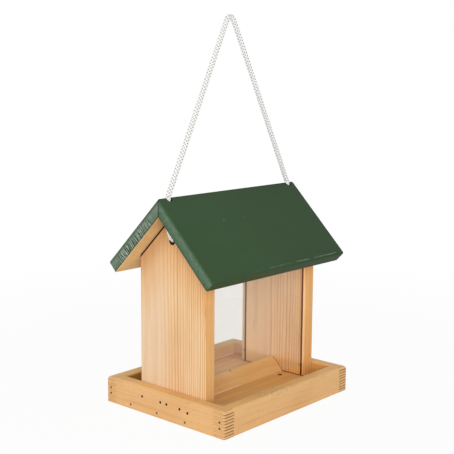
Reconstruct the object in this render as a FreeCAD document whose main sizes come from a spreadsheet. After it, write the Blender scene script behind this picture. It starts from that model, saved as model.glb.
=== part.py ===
import FreeCAD, Part
import math
import os
import re

import Sketcher

# Bird feeding house: a box-jointed tray, two gable walls with panes in grooves,
# and a mitred roof that slides up its hanging cord.
# X runs along the ridge, -Y is the front, Z is up, and the origin is under the middle of the tray.

Vector = FreeCAD.Vector
Rotation = FreeCAD.Rotation
Placement = FreeCAD.Placement

# Driving dimensions, in millimetres, degrees and counts
SIZES = {
    # Tray
    "tray_length": 200,
    "tray_width": 164,
    "rim_height": 27,
    "rim_thickness": 14,
    "rim_top_round": 3.5,
    "rim_inner_round": 1.5,
    "tray_corner_round": 2,
    "finger_count": 9,
    "finger_gap": 0.2,
    "floor_thickness": 13,
    "drain_diameter": 4,
    "drain_from_wall": 13,
    "drain_from_middle": 21.6,
    # Gable walls
    "wall_thickness": 13,
    "wall_width": 90,
    "wall_edge_round": 0.8,
    # Panes, their grooves and the pins under them
    "pane_thickness": 2,
    "pane_height": 125,
    "pane_head_room": 10.6,
    "pane_edge_break": 0.3,
    "feed_gap": 14,
    "groove_depth": 4.5,
    "groove_from_edge": 5,
    "groove_side_gap": 0.35,
    "groove_end_gap": 0.5,
    "pin_diameter": 1.6,
    "pin_in_wood": 6,
    "pin_reach": 2,
    "pin_gap": 0.3,
    # Seed divider
    "divider_width": 29,
    "divider_height": 15,
    "divider_knee_width": 15.2,
    "divider_knee_height": 9,
    "divider_round": 2.5,
    # Roof
    "roof_length": 209,
    "roof_slope": 102,
    "roof_thickness": 13,
    "roof_pitch": 45,
    "roof_seat_gap": 0.3,
    "ridge_round": 2.2,
    "roof_edge_round": 2,
    # Hanging cord
    "cord_diameter": 5.5,
    "cord_hole_diameter": 8,
    "left_hole_from_end": 13,
    "right_hole_from_end": 10,
    "wall_hole_below_peak": 25.2,
    "loop_height": 175.6,
    "loop_mouth_run": 4.5,
    "loop_fold_width": 7.5,
    "knot_turn_diameter": 8.4,
    "knot_end": 9,
    # Nails
    "nail_diameter": 1.6,
    "nail_sink": 0.8,
    "nail_cover": 3,
    "rim_nail_length": 30,
    "corner_nail_from_side": 6,
    "wall_nail_rise": 4,
    "floor_nail_height": 4.5,
}

# Hand-driven nail rows along an end rim, as shares of the half width of what they hold,
# and for the walls' nails as shares of their rise above the floor too
WALL_NAIL_ROW = ((0.65, 1.0), (0.07, 1.0), (-0.12, 0.95), (-0.52, 0.8), (-0.76, 0.42))
FLOOR_NAIL_ROW = (0.68, 0.12, -0.45)
RIDGE_NAIL_ROW = (-0.6, 0.0, 0.6)
# Levels of an end rim's fingers, counted from the bottom, that are nailed to the long rims,
# and how far up a finger its nail goes in, as a share of the finger
CORNER_NAIL_LEVELS = (3, 5)
CORNER_NAIL_SHARE = 0.31

# Places worked out from the driving dimensions
INNER_LENGTH = "(tray_length / 2 - rim_thickness)"
INNER_WIDTH = "(tray_width / 2 - rim_thickness)"
WALL_OUTSIDE = INNER_LENGTH
WALL_INSIDE = "(tray_length / 2 - rim_thickness - wall_thickness)"
GROOVE_PLACE = "(wall_width / 2 - groove_from_edge)"
GROOVE_WIDTH = "(pane_thickness + 2 * groove_side_gap)"
PANE_FOOT = "(floor_thickness + feed_gap)"
PANE_WIDTH = f"(2 * ({WALL_INSIDE} + groove_depth - groove_end_gap))"
# The roof clears the panes' outer top edges by their head room, and the walls reach up to the roof
UNDER_RIDGE = (f"({PANE_FOOT} + pane_height + pane_head_room"
               f" + ({GROOVE_PLACE} + pane_thickness / 2) * tan(roof_pitch))")
WALL_PEAK = f"({UNDER_RIDGE} - roof_seat_gap / cos(roof_pitch))"
WALL_SHOULDER = f"({WALL_PEAK} - wall_width / 2 * tan(roof_pitch))"
MITRE_HEIGHT = "(roof_thickness / cos(roof_pitch))"
RIDGE = f"({UNDER_RIDGE} + {MITRE_HEIGHT})"
LEFT_HOLE = "(left_hole_from_end - roof_length / 2)"
RIGHT_HOLE = "(roof_length / 2 - right_hole_from_end)"
WALL_HOLE_HEIGHT = f"({WALL_PEAK} - wall_hole_below_peak)"
FINGER_PITCH = "(rim_height / finger_count)"
# The knot's two turns press into each other, and each is eight-sided round its cord
KNOT_TURN_PITCH = "(0.8 * cord_diameter)"
KNOT_BEVEL = "(cord_diameter / 2 * tan(180 / 8))"
# The divider's rounded crest lies below its drawn peak, so its nail is sunk from there
CREST_ANGLE = "atan((divider_height - divider_knee_height) / (divider_knee_width / 2))"
CREST_DROP = f"(divider_round / cos({CREST_ANGLE}) - divider_round)"
DIVIDER_NAIL_SINK = f"({CREST_DROP} + nail_sink)"
HALF_TURN = Placement(Vector(), Rotation(Vector(0, 0, 1), 180))
# Cuts run this far past the wood that they open
CUT_MARGIN = 1
# Places closer than this are the same
NEARNESS = 1e-4
# Sides of a nail's shank and of the cord's section
NAIL_SIDES = 8
CORD_SIDES = 12
# Share of the shorter run beside a bend of the cord that its arc takes up
BEND_SHARE = 0.45
# Share by which a tube's volume may differ from its section times its length
VOLUME_SLACK = 0.01

doc = FreeCAD.newDocument("bird_feeding_house")
sheet = doc.addObject("Spreadsheet::Sheet", "sizes")
for row, (alias, size) in enumerate(SIZES.items(), start=1):
    sheet.set(f"A{row}", alias)
    sheet.set(f"B{row}", str(size))
    sheet.setAlias(f"B{row}", alias)
doc.recompute()

nodes = []


def formula(text):
    """Writes a formula of size names as the document's expression."""
    return re.sub(r"\b[a-z]+(?:_[a-z]+)+\b", r"sizes.\g<0>", text)


def value(text):
    """Works out a formula of size names as a number."""
    return float(sheet.evalExpression(formula(text)))


def bind(thing, name, text):
    """Ties a property to a formula of size names."""
    thing.setExpression(name, formula(text))


def new_body(label):
    """Starts a piece that is made of sketched features."""
    body = doc.addObject("PartDesign::Body", label)
    body.Label = label
    return body


def new_sketch(body, name, role, offset="0"):
    """Lays a sketch on one of the body's own planes, moved along its normal by the offset."""
    plane = next(feature for feature in body.Origin.OriginFeatures if feature.Role == role)
    sketch = body.newObject("Sketcher::SketchObject", f"{body.Name}_{name}")
    sketch.AttachmentSupport = [(plane, "")]
    sketch.MapMode = "FlatFace"
    bind(sketch, "AttachmentOffset.Base.z", offset)
    return sketch


def hold_point(sketch, geometry, point, across, up):
    """Fixes a point of a sketch by two formulas."""
    for kind, text in (("DistanceX", across), ("DistanceY", up)):
        index = sketch.addConstraint(Sketcher.Constraint(kind, -1, 1, geometry, point, value(text)))
        bind(sketch, f"Constraints[{index}]", text)


def outline(sketch, corners, arcs=None):
    """Closes a loop through corners given as formulas, anticlockwise.

    arcs maps a side's number to the formulas of its centre and radius.
    """
    arcs = arcs or {}
    spots = [Vector(value(across), value(up), 0) for across, up in corners]
    first = sketch.GeometryCount
    count = len(corners)
    for side, spot in enumerate(spots):
        target = spots[(side + 1) % count]
        if side in arcs:
            centre = Vector(value(arcs[side][0]), value(arcs[side][1]), 0)
            whole = Part.Circle(centre, Vector(0, 0, 1), value(arcs[side][2]))
            start = math.atan2(spot.y - centre.y, spot.x - centre.x)
            end = math.atan2(target.y - centre.y, target.x - centre.x)
            sketch.addGeometry(Part.ArcOfCircle(whole, start, end), False)
        else:
            sketch.addGeometry(Part.LineSegment(spot, target), False)
    for side in range(count):
        after = (side + 1) % count
        sketch.addConstraint(Sketcher.Constraint("Coincident", first + side, 2, first + after, 1))
    for side, (across, up) in enumerate(corners):
        hold_point(sketch, first + side, 1, across, up)
        if side in arcs:
            radius = arcs[side][2]
            index = sketch.addConstraint(Sketcher.Constraint("Radius", first + side, value(radius)))
            bind(sketch, f"Constraints[{index}]", radius)


def rectangle(sketch, left, low, right, high):
    """Draws a rectangle between formulas."""
    outline(sketch, [(left, low), (right, low), (right, high), (left, high)])


def circle(sketch, across, up, diameter):
    """Draws a circle at formulas."""
    spot = Vector(value(across), value(up), 0)
    index = sketch.addGeometry(Part.Circle(spot, Vector(0, 0, 1), value(diameter) / 2), False)
    hold_point(sketch, index, 3, across, up)
    size = sketch.addConstraint(Sketcher.Constraint("Diameter", index, value(diameter)))
    bind(sketch, f"Constraints[{size}]", diameter)


def nail_outline(sketch, across, up):
    """Draws the outline of a nail's shank at formulas."""
    turns = [360 / NAIL_SIDES * side for side in range(NAIL_SIDES)]
    outline(sketch, [(f"{across} + nail_diameter / 2 * cos({turn})",
                      f"{up} + nail_diameter / 2 * sin({turn})") for turn in turns])


def pad(body, sketch, length, symmetric=False):
    """Gives a sketch its thickness."""
    feature = body.newObject("PartDesign::Pad", f"{sketch.Name}_pad")
    feature.Profile = sketch
    feature.SideType = "Symmetric" if symmetric else "One side"
    bind(feature, "Length", length)
    doc.recompute()
    return feature


def cut(body, sketch, depth=None, towards_normal=False, both_ways=False):
    """Cuts a sketch out of its body, right through where no depth is given."""
    before = body.Shape.Volume
    feature = body.newObject("PartDesign::Pocket", f"{sketch.Name}_cut")
    feature.Profile = sketch
    feature.Reversed = towards_normal
    if both_ways:
        feature.SideType = "Symmetric"
    if depth is None:
        feature.Type = "ThroughAll"
    else:
        bind(feature, "Length", depth)
    doc.recompute()
    if not body.Shape.Volume < before:
        raise RuntimeError(f"{feature.Name} cuts nothing")
    return feature


def ease_edges(body, base, kind, size_name, text, wanted):
    """Rounds or bevels the edges of a feature whose middles are wanted."""
    names = []
    for number, edge in enumerate(base.Shape.Edges, start=1):
        middle = edge.valueAt((edge.FirstParameter + edge.LastParameter) / 2)
        if wanted(middle, edge):
            names.append(f"Edge{number}")
    feature = body.newObject(f"PartDesign::{kind}", f"{base.Name}_{kind.lower()}")
    feature.Base = (base, names)
    bind(feature, size_name, text)
    doc.recompute()
    return feature


def near(first, second):
    """Tells whether two places agree."""
    return abs(first - second) < NEARNESS


def upright(edge):
    """Tells whether an edge is straight and vertical."""
    start, end = (vertex.Point for vertex in (edge.Vertexes[0], edge.Vertexes[-1]))
    return near(start.x, end.x) and near(start.y, end.y) and not near(start.z, end.z)


def add_node(piece):
    """Lists a finished piece for writing."""
    nodes.append(piece)
    return piece


def tray_blank():
    """The glued-up rim as one rounded frame, from which each rim board takes its edges."""
    body = new_body("tray_blank")
    sketch = new_sketch(body, "outside", "XY_Plane")
    rectangle(sketch, "-tray_length / 2", "-tray_width / 2", "tray_length / 2", "tray_width / 2")
    block = pad(body, sketch, "rim_height")
    corners = ease_edges(body, block, "Fillet", "Radius", "tray_corner_round",
                         lambda middle, edge: upright(edge))
    top = value("rim_height")
    ease_edges(body, corners, "Fillet", "Radius", "rim_top_round",
               lambda middle, edge: near(middle.z, top))
    sketch = new_sketch(body, "inside", "XY_Plane", "rim_height")
    rectangle(sketch, f"-{INNER_LENGTH}", f"-{INNER_WIDTH}", INNER_LENGTH, INNER_WIDTH)
    opened = cut(body, sketch)
    inside_length = value(INNER_LENGTH) + NEARNESS
    inside_width = value(INNER_WIDTH) + NEARNESS
    ease_edges(body, opened, "Fillet", "Radius", "rim_inner_round",
               lambda middle, edge: near(middle.z, top) and abs(middle.x) < inside_length
               and abs(middle.y) < inside_width)
    return body


def comb(body, board, first_level, slot_count, plane, half_length):
    """Cuts the slots between the fingers at both ends of a rim board."""
    slots = new_sketch(body, "slots", plane)
    low = f"({first_level} * {FINGER_PITCH} - finger_gap / 2)"
    high = f"(({first_level} + 1) * {FINGER_PITCH} + finger_gap / 2)"
    reach = f"({half_length} + {CUT_MARGIN})"
    root = f"({half_length} - rim_thickness)"
    rectangle(slots, f"-{reach}", low, f"-{root}", high)
    rectangle(slots, root, low, reach, high)
    first = cut(body, slots, both_ways=True)
    pattern = body.newObject("PartDesign::LinearPattern", f"{board}_fingers")
    pattern.Originals = [first]
    pattern.Direction = (slots, ["V_Axis"])
    pattern.Mode = "Spacing"
    bind(pattern, "Offset", f"2 * {FINGER_PITCH}")
    bind(pattern, "Occurrences", slot_count)
    body.Tip = pattern
    doc.recompute()
    return pattern


def long_rim_board():
    """Front rim board with its fingers, which keeps the lowest and top levels of the corners."""
    body = new_body("long_rim_board")
    sketch = new_sketch(body, "plan", "XY_Plane")
    front = "-tray_width / 2"
    rectangle(sketch, "-tray_length / 2", front, "tray_length / 2", f"{front} + rim_thickness")
    pad(body, sketch, "rim_height")
    comb(body, "long_rim", 1, "floor(finger_count / 2)", "XZ_Plane", "tray_length / 2")
    return body


def end_rim_board():
    """Left rim board with its fingers and the sunk ends of the nail holes."""
    body = new_body("end_rim_board")
    sketch = new_sketch(body, "plan", "XY_Plane")
    left = "-tray_length / 2"
    rectangle(sketch, left, "-tray_width / 2", f"{left} + rim_thickness", "tray_width / 2")
    pad(body, sketch, "rim_height")
    comb(body, "end_rim", 0, "floor((finger_count + 1) / 2)", "YZ_Plane", "tray_width / 2")
    sinks = new_sketch(body, "nail_sinks", "YZ_Plane", left)
    for across, up in corner_nail_spots() + wall_nail_spots() + floor_nail_spots():
        nail_outline(sinks, across, up)
    cut(body, sinks, "nail_sink", towards_normal=True)
    return body


def corner_nail_spots():
    """Nails through an end rim's fingers into the ends of the long rims."""
    side = "(tray_width / 2 - corner_nail_from_side)"
    return [(f"{sign}{side}", f"{level + CORNER_NAIL_SHARE} * {FINGER_PITCH}") for sign in ("", "-")
            for level in CORNER_NAIL_LEVELS]


def wall_nail_spots():
    """Nails from an end rim into the foot of a gable wall."""
    return [(f"{share} * wall_width / 2", f"floor_thickness + {rise} * wall_nail_rise")
            for share, rise in WALL_NAIL_ROW]


def floor_nail_spots():
    """Nails from an end rim into the edge of the floor."""
    return [(f"{share} * {INNER_WIDTH}", "floor_nail_height") for share in FLOOR_NAIL_ROW]


def tray_rims():
    """Four rim boards, each the part of the rounded frame that its fingered board fills."""
    blank = tray_blank()
    boards = {
        "tray_front_rim": (long_rim_board(), Placement()),
        "tray_left_rim": (end_rim_board(), Placement()),
    }
    boards["tray_back_rim"] = (boards["tray_front_rim"][0], HALF_TURN)
    boards["tray_right_rim"] = (boards["tray_left_rim"][0], HALF_TURN)
    for label, (board, turn) in boards.items():
        rim = doc.addObject("Part::Common", label)
        rim.Base = blank
        rim.Tool = board
        rim.Placement = turn
        add_node(rim)


def tray_floor():
    """Floor board inside the rims, with drain holes between the divider and the panes."""
    body = new_body("tray_floor")
    sketch = new_sketch(body, "plan", "XY_Plane")
    rectangle(sketch, f"-{INNER_LENGTH}", f"-{INNER_WIDTH}", INNER_LENGTH, INNER_WIDTH)
    pad(body, sketch, "floor_thickness")
    drains = new_sketch(body, "drains", "XY_Plane", "floor_thickness")
    for along in (f"-({WALL_INSIDE} - drain_from_wall)", f"({WALL_INSIDE} - drain_from_wall)"):
        for across in ("-drain_from_middle", "drain_from_middle"):
            circle(drains, along, across, "drain_diameter")
    cut(body, drains)
    add_node(body)


def gable_wall(label, turn):
    """Gable wall, standing on the floor against an end rim, grooved inside for the panes."""
    body = new_body(label)
    sketch = new_sketch(body, "outline", "YZ_Plane", f"-{WALL_OUTSIDE}")
    half_width = "wall_width / 2"
    outline(sketch, [
        (f"-{half_width}", "floor_thickness"),
        (half_width, "floor_thickness"),
        (half_width, WALL_SHOULDER),
        ("0", WALL_PEAK),
        (f"-{half_width}", WALL_SHOULDER),
    ])
    board = pad(body, sketch, "wall_thickness")
    side = value(half_width)
    ease_edges(body, board, "Fillet", "Radius", "wall_edge_round",
               lambda middle, edge: upright(edge) and near(abs(middle.y), side))
    grooves = new_sketch(body, "grooves", "YZ_Plane", f"-{WALL_INSIDE}")
    for sign in ("-", ""):
        middle = f"{sign}{GROOVE_PLACE}"
        rectangle(grooves, f"{middle} - {GROOVE_WIDTH} / 2", f"floor_thickness - {CUT_MARGIN}",
                  f"{middle} + {GROOVE_WIDTH} / 2", WALL_PEAK)
    cut(body, grooves, "groove_depth")
    hole = new_sketch(body, "cord_hole", "YZ_Plane", f"-{WALL_INSIDE}")
    circle(hole, "0", WALL_HOLE_HEIGHT, "cord_hole_diameter")
    cut(body, hole)
    body.Placement = turn
    add_node(body)


def pane(label, turn):
    """Clear pane that slides in the grooves and rests on the pins."""
    body = new_body(label)
    sketch = new_sketch(body, "plan", "XY_Plane", PANE_FOOT)
    front = f"(-{GROOVE_PLACE} - pane_thickness / 2)"
    rectangle(sketch, f"-{PANE_WIDTH} / 2", front, f"{PANE_WIDTH} / 2", f"{front} + pane_thickness")
    plate = pad(body, sketch, "pane_height")
    ease_edges(body, plate, "Chamfer", "Size", "pane_edge_break",
               lambda middle, edge: not near(middle.y, -value(GROOVE_PLACE)))
    body.Placement = turn
    add_node(body)


def seed_divider():
    """Two-slope strip between the walls that sends the seed to both feed gaps."""
    body = new_body("seed_divider")
    sketch = new_sketch(body, "profile", "YZ_Plane")
    knee = "floor_thickness + divider_knee_height"
    outline(sketch, [
        ("-divider_width / 2", "floor_thickness"),
        ("divider_width / 2", "floor_thickness"),
        ("divider_knee_width / 2", knee),
        ("0", "floor_thickness + divider_height"),
        ("-divider_knee_width / 2", knee),
    ])
    strip = pad(body, sketch, f"2 * {WALL_INSIDE}", symmetric=True)
    floor_top = value("floor_thickness")
    ease_edges(body, strip, "Fillet", "Radius", "divider_round",
               lambda middle, edge: near(middle.x, 0) and middle.z > floor_top + NEARNESS)
    sink = new_sketch(body, "nail_sink", "XY_Plane", "floor_thickness + divider_height")
    nail_outline(sink, "0", "0")
    cut(body, sink, DIVIDER_NAIL_SINK)
    add_node(body)


def roof_board(label, turn, holes):
    """Roof board, mitred at the ridge, cut square at the eave and bored for the cord."""
    body = new_body(label)
    sketch = new_sketch(body, "profile", "YZ_Plane")
    eave_across = "(-roof_slope * cos(roof_pitch))"
    eave_up = f"({RIDGE} - roof_slope * sin(roof_pitch))"
    centre_up = f"({RIDGE} - ridge_round / cos(roof_pitch))"
    under_across = f"{eave_across} + roof_thickness * sin(roof_pitch)"
    under_up = f"{eave_up} - roof_thickness * cos(roof_pitch)"
    outline(sketch, [
        (under_across, under_up),
        ("0", UNDER_RIDGE),
        ("0", f"{centre_up} + ridge_round"),
        ("-ridge_round * sin(roof_pitch)", f"{centre_up} + ridge_round * cos(roof_pitch)"),
        (eave_across, eave_up),
    ], arcs={2: ("0", centre_up, "ridge_round")})
    board = pad(body, sketch, "roof_length", symmetric=True)
    end = value("roof_length / 2")
    eave = Vector(0, value(eave_across), value(eave_up))
    under_line = value(UNDER_RIDGE)
    rise = value("tan(roof_pitch)")

    def outer_edge(middle, edge):
        """Picks the upper gable edges, the eave's top edge and the eave's two end edges."""
        at_end = near(abs(middle.x), end)
        on_eave_top = near(middle.y, eave.y) and near(middle.z, eave.z)
        on_underside = near(middle.z - middle.y * rise, under_line)
        on_mitre = near(middle.y, 0)
        return on_eave_top or (at_end and not on_underside and not on_mitre)

    ease_edges(body, board, "Fillet", "Radius", "roof_edge_round", outer_edge)
    bores = new_sketch(body, "cord_holes", "XY_Plane", f"{RIDGE} + {CUT_MARGIN}")
    for along in holes:
        circle(bores, along, "0", "cord_hole_diameter")
    cut(body, bores)
    body.Placement = turn
    add_node(body)


def nail_group(label, axis, places, diameter, length):
    """Group of equal nails along one axis, each from its place."""
    nails = []
    for number, place in enumerate(places, start=1):
        nail = doc.addObject("Part::Prism", f"{label}_{number}")
        nail.Polygon = NAIL_SIDES
        bind(nail, "Circumradius", f"{diameter} / 2")
        bind(nail, "Height", length)
        nail.Placement = Placement(Vector(), Rotation(Vector(0, 0, 1), axis))
        for letter, text in zip("xyz", place):
            bind(nail, f"Placement.Base.{letter}", text)
        nails.append(nail)
    return nails


def compound_node(label, pieces):
    """One node of separate equal solids."""
    group = doc.addObject("Part::Compound", label)
    group.Links = pieces
    add_node(group)


def end_rim_nails(label, spots, length):
    """Nails through both end rims, the right one's row turned by half a turn."""
    start = "(tray_length / 2 - nail_sink)"
    left = [(f"-{start}", across, up) for across, up in spots]
    right = [(start, f"-({across})", up) for across, up in spots]
    nails = nail_group(f"{label}_left", Vector(1, 0, 0), left, "nail_diameter", length)
    nails += nail_group(f"{label}_right", Vector(-1, 0, 0), right, "nail_diameter", length)
    compound_node(label, nails)


def all_nails():
    """Nails of the tray, the divider and the ridge, and the pins under the panes."""
    end_rim_nails("tray_corner_nails", corner_nail_spots(), "rim_nail_length")
    wall_nail_length = "rim_thickness + wall_thickness - nail_sink - nail_cover"
    end_rim_nails("wall_nails", wall_nail_spots(), wall_nail_length)
    end_rim_nails("floor_nails", floor_nail_spots(), "rim_nail_length")

    divider_head = f"floor_thickness + divider_height - {DIVIDER_NAIL_SINK}"
    divider_nail = nail_group("seed_divider_nail_shank", Vector(0, 0, -1), [("0", "0", divider_head)],
                              "nail_diameter", f"{divider_head} - nail_cover")
    compound_node("seed_divider_nail", divider_nail)

    reach = f"({MITRE_HEIGHT} / 2 / tan(roof_pitch) - nail_cover)"
    ridge_spots = [(f"{share} * roof_length / 2", f"-{reach}", f"{RIDGE} - {MITRE_HEIGHT} / 2")
                   for share in RIDGE_NAIL_ROW]
    compound_node("roof_ridge_nails", nail_group("ridge_nail", Vector(0, 1, 0), ridge_spots,
                                                 "nail_diameter", f"2 * {reach}"))

    pin_height = f"{PANE_FOOT} - pin_gap - pin_diameter / 2"
    pin_length = "groove_depth + pin_in_wood + pin_reach"
    pins = []
    for sign, inward in (("-", Vector(-1, 0, 0)), ("", Vector(1, 0, 0))):
        start = f"{sign}({WALL_INSIDE} - pin_reach)"
        spots = [(start, f"{side}{GROOVE_PLACE}", pin_height) for side in ("-", "")]
        side_name = "left" if sign else "right"
        pins += nail_group(f"pane_pin_{side_name}", inward, spots, "pin_diameter", pin_length)
    compound_node("pane_rest_pins", pins)


def bend_radius(before, corner, after):
    """Largest radius that the two runs beside a corner leave room for."""
    turn = (corner - before).getAngle(after - corner)
    shorter = min((corner - before).Length, (after - corner).Length)
    return BEND_SHARE * shorter / math.tan(turn / 2)


def cord_tube(label, points):
    """Tube of the cord's diameter along straight runs joined by tangent arcs."""
    edges = []
    start = points[0]
    radii = []
    for before, corner, after in zip(points, points[1:], points[2:]):
        radius = bend_radius(before, corner, after)
        into = (corner - before).normalize()
        out = (after - corner).normalize()
        turn = into.getAngle(out)
        tangent = radius * math.tan(turn / 2)
        enter = corner - into * tangent
        leave = corner + out * tangent
        inward = (out - into).normalize()
        crown = corner + inward * (radius / math.cos(turn / 2) - radius)
        edges.append(Part.LineSegment(start, enter).toShape())
        edges.append(Part.Arc(enter, crown, leave).toShape())
        radii.append(round(radius, 1))
        start = leave
    edges.append(Part.LineSegment(start, points[-1]).toShape())
    path = Part.Wire(edges)
    reach = value("cord_diameter") / 2
    across = Vector(0, 1, 0)
    over = (points[1] - points[0]).normalize().cross(across)
    turns = [2 * math.pi * side / CORD_SIDES for side in range(CORD_SIDES + 1)]
    section = Part.makePolygon([points[0] + across * (reach * math.cos(turn)) + over * (reach * math.sin(turn))
                                for turn in turns])
    tube = path.makePipeShell([section], True, False)
    expected = Part.Face(section).Area * path.Length
    if abs(tube.Volume - expected) > VOLUME_SLACK * expected:
        raise RuntimeError(f"{label} has the wrong volume")
    print(label, "length", round(path.Length, 1), "bend radii", radii)
    feature = doc.addObject("Part::Feature", label)
    feature.Shape = tube
    feature.Placement = Placement()
    add_node(feature)


def cord_knot(label, turn):
    """Stopper knot on the cord's end, two turns drawn up against the inside of the wall."""
    body = new_body(label)
    sketch = new_sketch(body, "half_outline", "XZ_Plane")
    bind(sketch, "AttachmentOffset.Base.x", f"-{WALL_INSIDE}")
    bind(sketch, "AttachmentOffset.Base.y", WALL_HOLE_HEIGHT)
    half_cord = "cord_diameter / 2"
    ring = "knot_turn_diameter / 2"
    crown = f"({ring} + {half_cord})"
    end = f"(cord_diameter + {KNOT_TURN_PITCH})"
    outline(sketch, [
        ("0", "0"),
        (f"{end} + knot_end", "0"),
        (f"{end} + knot_end", half_cord),
        (end, half_cord),
        (end, f"{ring} + {KNOT_BEVEL}"),
        (f"{end} - {half_cord} + {KNOT_BEVEL}", crown),
        (f"{end} - {half_cord} - {KNOT_BEVEL}", crown),
        (f"{end} / 2", f"{crown} - {KNOT_TURN_PITCH} / 2 + {KNOT_BEVEL}"),
        (f"{half_cord} + {KNOT_BEVEL}", crown),
        (f"{half_cord} - {KNOT_BEVEL}", crown),
        ("0", f"{ring} + {KNOT_BEVEL}"),
    ])
    knot = body.newObject("PartDesign::Revolution", f"{label}_turns")
    knot.Profile = sketch
    knot.ReferenceAxis = (sketch, ["H_Axis"])
    knot.Angle = 360
    doc.recompute()
    body.Placement = turn
    add_node(body)


def hanging_cord():
    """Cord from a knot inside one wall, up through the ridge, over the hook and down to the other."""
    ridge = value(RIDGE)
    hole_height = value(WALL_HOLE_HEIGHT)
    wall_inside = value(WALL_INSIDE)
    left = value(LEFT_HOLE)
    right = value(RIGHT_HOLE)
    mouth = ridge + value("loop_mouth_run")
    top = ridge + value("loop_height")
    fold = value("loop_fold_width") / 2
    cord_tube("cord_loop", [
        Vector(left, 0, ridge),
        Vector(left, 0, mouth),
        Vector(-fold, 0, top),
        Vector(fold, 0, top),
        Vector(right, 0, mouth),
        Vector(right, 0, ridge),
    ])
    tails = {"cord_tail_left": (left, -wall_inside), "cord_tail_right": (right, wall_inside)}
    for label, (along, inside) in tails.items():
        cord_tube(label, [
            Vector(along, 0, ridge),
            Vector(along, 0, hole_height),
            Vector(inside, 0, hole_height),
        ])
    cord_knot("cord_knot_left", Placement())
    cord_knot("cord_knot_right", HALF_TURN)


tray_rims()
tray_floor()
gable_wall("gable_wall_left", Placement())
gable_wall("gable_wall_right", HALF_TURN)
pane("pane_front", Placement())
pane("pane_back", HALF_TURN)
seed_divider()
roof_board("roof_front_board", Placement(), [LEFT_HOLE, RIGHT_HOLE])
roof_board("roof_back_board", HALF_TURN, [f"-{LEFT_HOLE}", f"-{RIGHT_HOLE}"])
all_nails()
hanging_cord()
doc.recompute()

for thing in doc.Objects:
    if "Invalid" in thing.State or "Error" in thing.State:
        raise RuntimeError(f"{thing.Label} failed: {thing.State}")
for node in nodes:
    if node.Shape.isNull() or not node.Shape.isValid():
        raise RuntimeError(f"{node.Label} has no valid shape")

os.makedirs("parts", exist_ok=True)
for node in nodes:
    node.Shape.exportStep(f"parts/{node.Label}.step")
    print(node.Label, len(node.Shape.Solids), "solids", round(node.Shape.Volume), "cubic mm")
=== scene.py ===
import itertools
import logging
import math
from abc import ABC, abstractmethod
from collections.abc import Mapping, Sequence
from dataclasses import dataclass, replace
from enum import Enum
from functools import cached_property
from typing import Any, Optional, Union

import bmesh
import bpy
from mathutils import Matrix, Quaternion, Vector


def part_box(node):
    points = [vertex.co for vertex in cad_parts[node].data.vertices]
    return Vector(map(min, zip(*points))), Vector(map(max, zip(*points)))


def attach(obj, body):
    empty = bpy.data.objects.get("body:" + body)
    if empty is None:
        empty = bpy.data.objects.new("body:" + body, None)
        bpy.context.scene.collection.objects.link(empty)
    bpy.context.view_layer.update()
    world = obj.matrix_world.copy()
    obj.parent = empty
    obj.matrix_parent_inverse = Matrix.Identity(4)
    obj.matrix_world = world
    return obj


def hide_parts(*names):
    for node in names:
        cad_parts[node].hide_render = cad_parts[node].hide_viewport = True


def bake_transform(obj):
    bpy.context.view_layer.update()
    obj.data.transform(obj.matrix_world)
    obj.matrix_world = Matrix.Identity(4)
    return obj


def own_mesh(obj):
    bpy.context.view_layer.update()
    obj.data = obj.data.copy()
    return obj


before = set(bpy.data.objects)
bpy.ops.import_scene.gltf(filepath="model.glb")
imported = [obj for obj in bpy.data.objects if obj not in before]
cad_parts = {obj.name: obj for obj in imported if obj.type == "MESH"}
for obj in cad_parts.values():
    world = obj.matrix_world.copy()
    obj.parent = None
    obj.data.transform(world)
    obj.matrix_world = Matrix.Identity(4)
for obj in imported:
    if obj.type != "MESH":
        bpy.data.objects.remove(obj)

# Looks of a wooden bird feeding house: its boards, roof paint, clear panes, nails and braided cord.
# The frame is in metres, with X along the ridge, -Y in front and Z up. Sizes are in millimetres,
# apart from those that are multiplied by MM and those of the studio.

LOG = logging.getLogger("bird_feeding_house")
MM = 0.001
IMAGE_SIDE = 454
SENSOR_WIDTH = 36.0
RIDGE_TOP = 221.985
CORD_HOLE = 177.98
WALL_INSIDE = 73.0
SLANT = math.sqrt(0.5)

# Short names for types

Corner = bmesh.types.BMVert
Material = bpy.types.Material
Node = bpy.types.Node
Piece = bpy.types.Object
Shape = bmesh.types.BMesh
Socket = bpy.types.NodeSocket
Colour = tuple[float, float, float, float]
Pair = tuple[float, float]
Triple = tuple[float, float, float]
Given = Union[float, "Signal"]
Place = Union["Signal", Sequence[Given]]
Paint = Union[str, "Signal"]


def linear(code: str) -> Colour:
    """Turns a colour's hex code into the linear colour that shaders take.

    Args:
        code: The colour as six hex digits after a hash sign.

    Returns:
        The linear red, green, blue and full alpha.
    """
    shares = [int(code[start:start + 2], 16) / 255 for start in (1, 3, 5)]
    red, green, blue = (s / 12.92 if s <= 0.04045 else ((s + 0.055) / 1.055) ** 2.4 for s in shares)
    return (red, green, blue, 1.0)


class Axis(Enum):
    """Direction of the frame that a board's grain follows."""

    X = 0
    Y = 1
    Z = 2

    def order(self, parts: Sequence["Signal"]) -> tuple["Signal", "Signal", "Signal"]:
        """Sorts X, Y and Z parts so that the one along this axis comes first."""
        others = [parts[axis.value] for axis in Axis if axis is not self]
        return (parts[self.value], others[0], others[1])

    def direction(self) -> Triple:
        """Gives the axis as a vector of length 1."""
        x, y, z = (float(axis is self) for axis in Axis)
        return (x, y, z)


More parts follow.
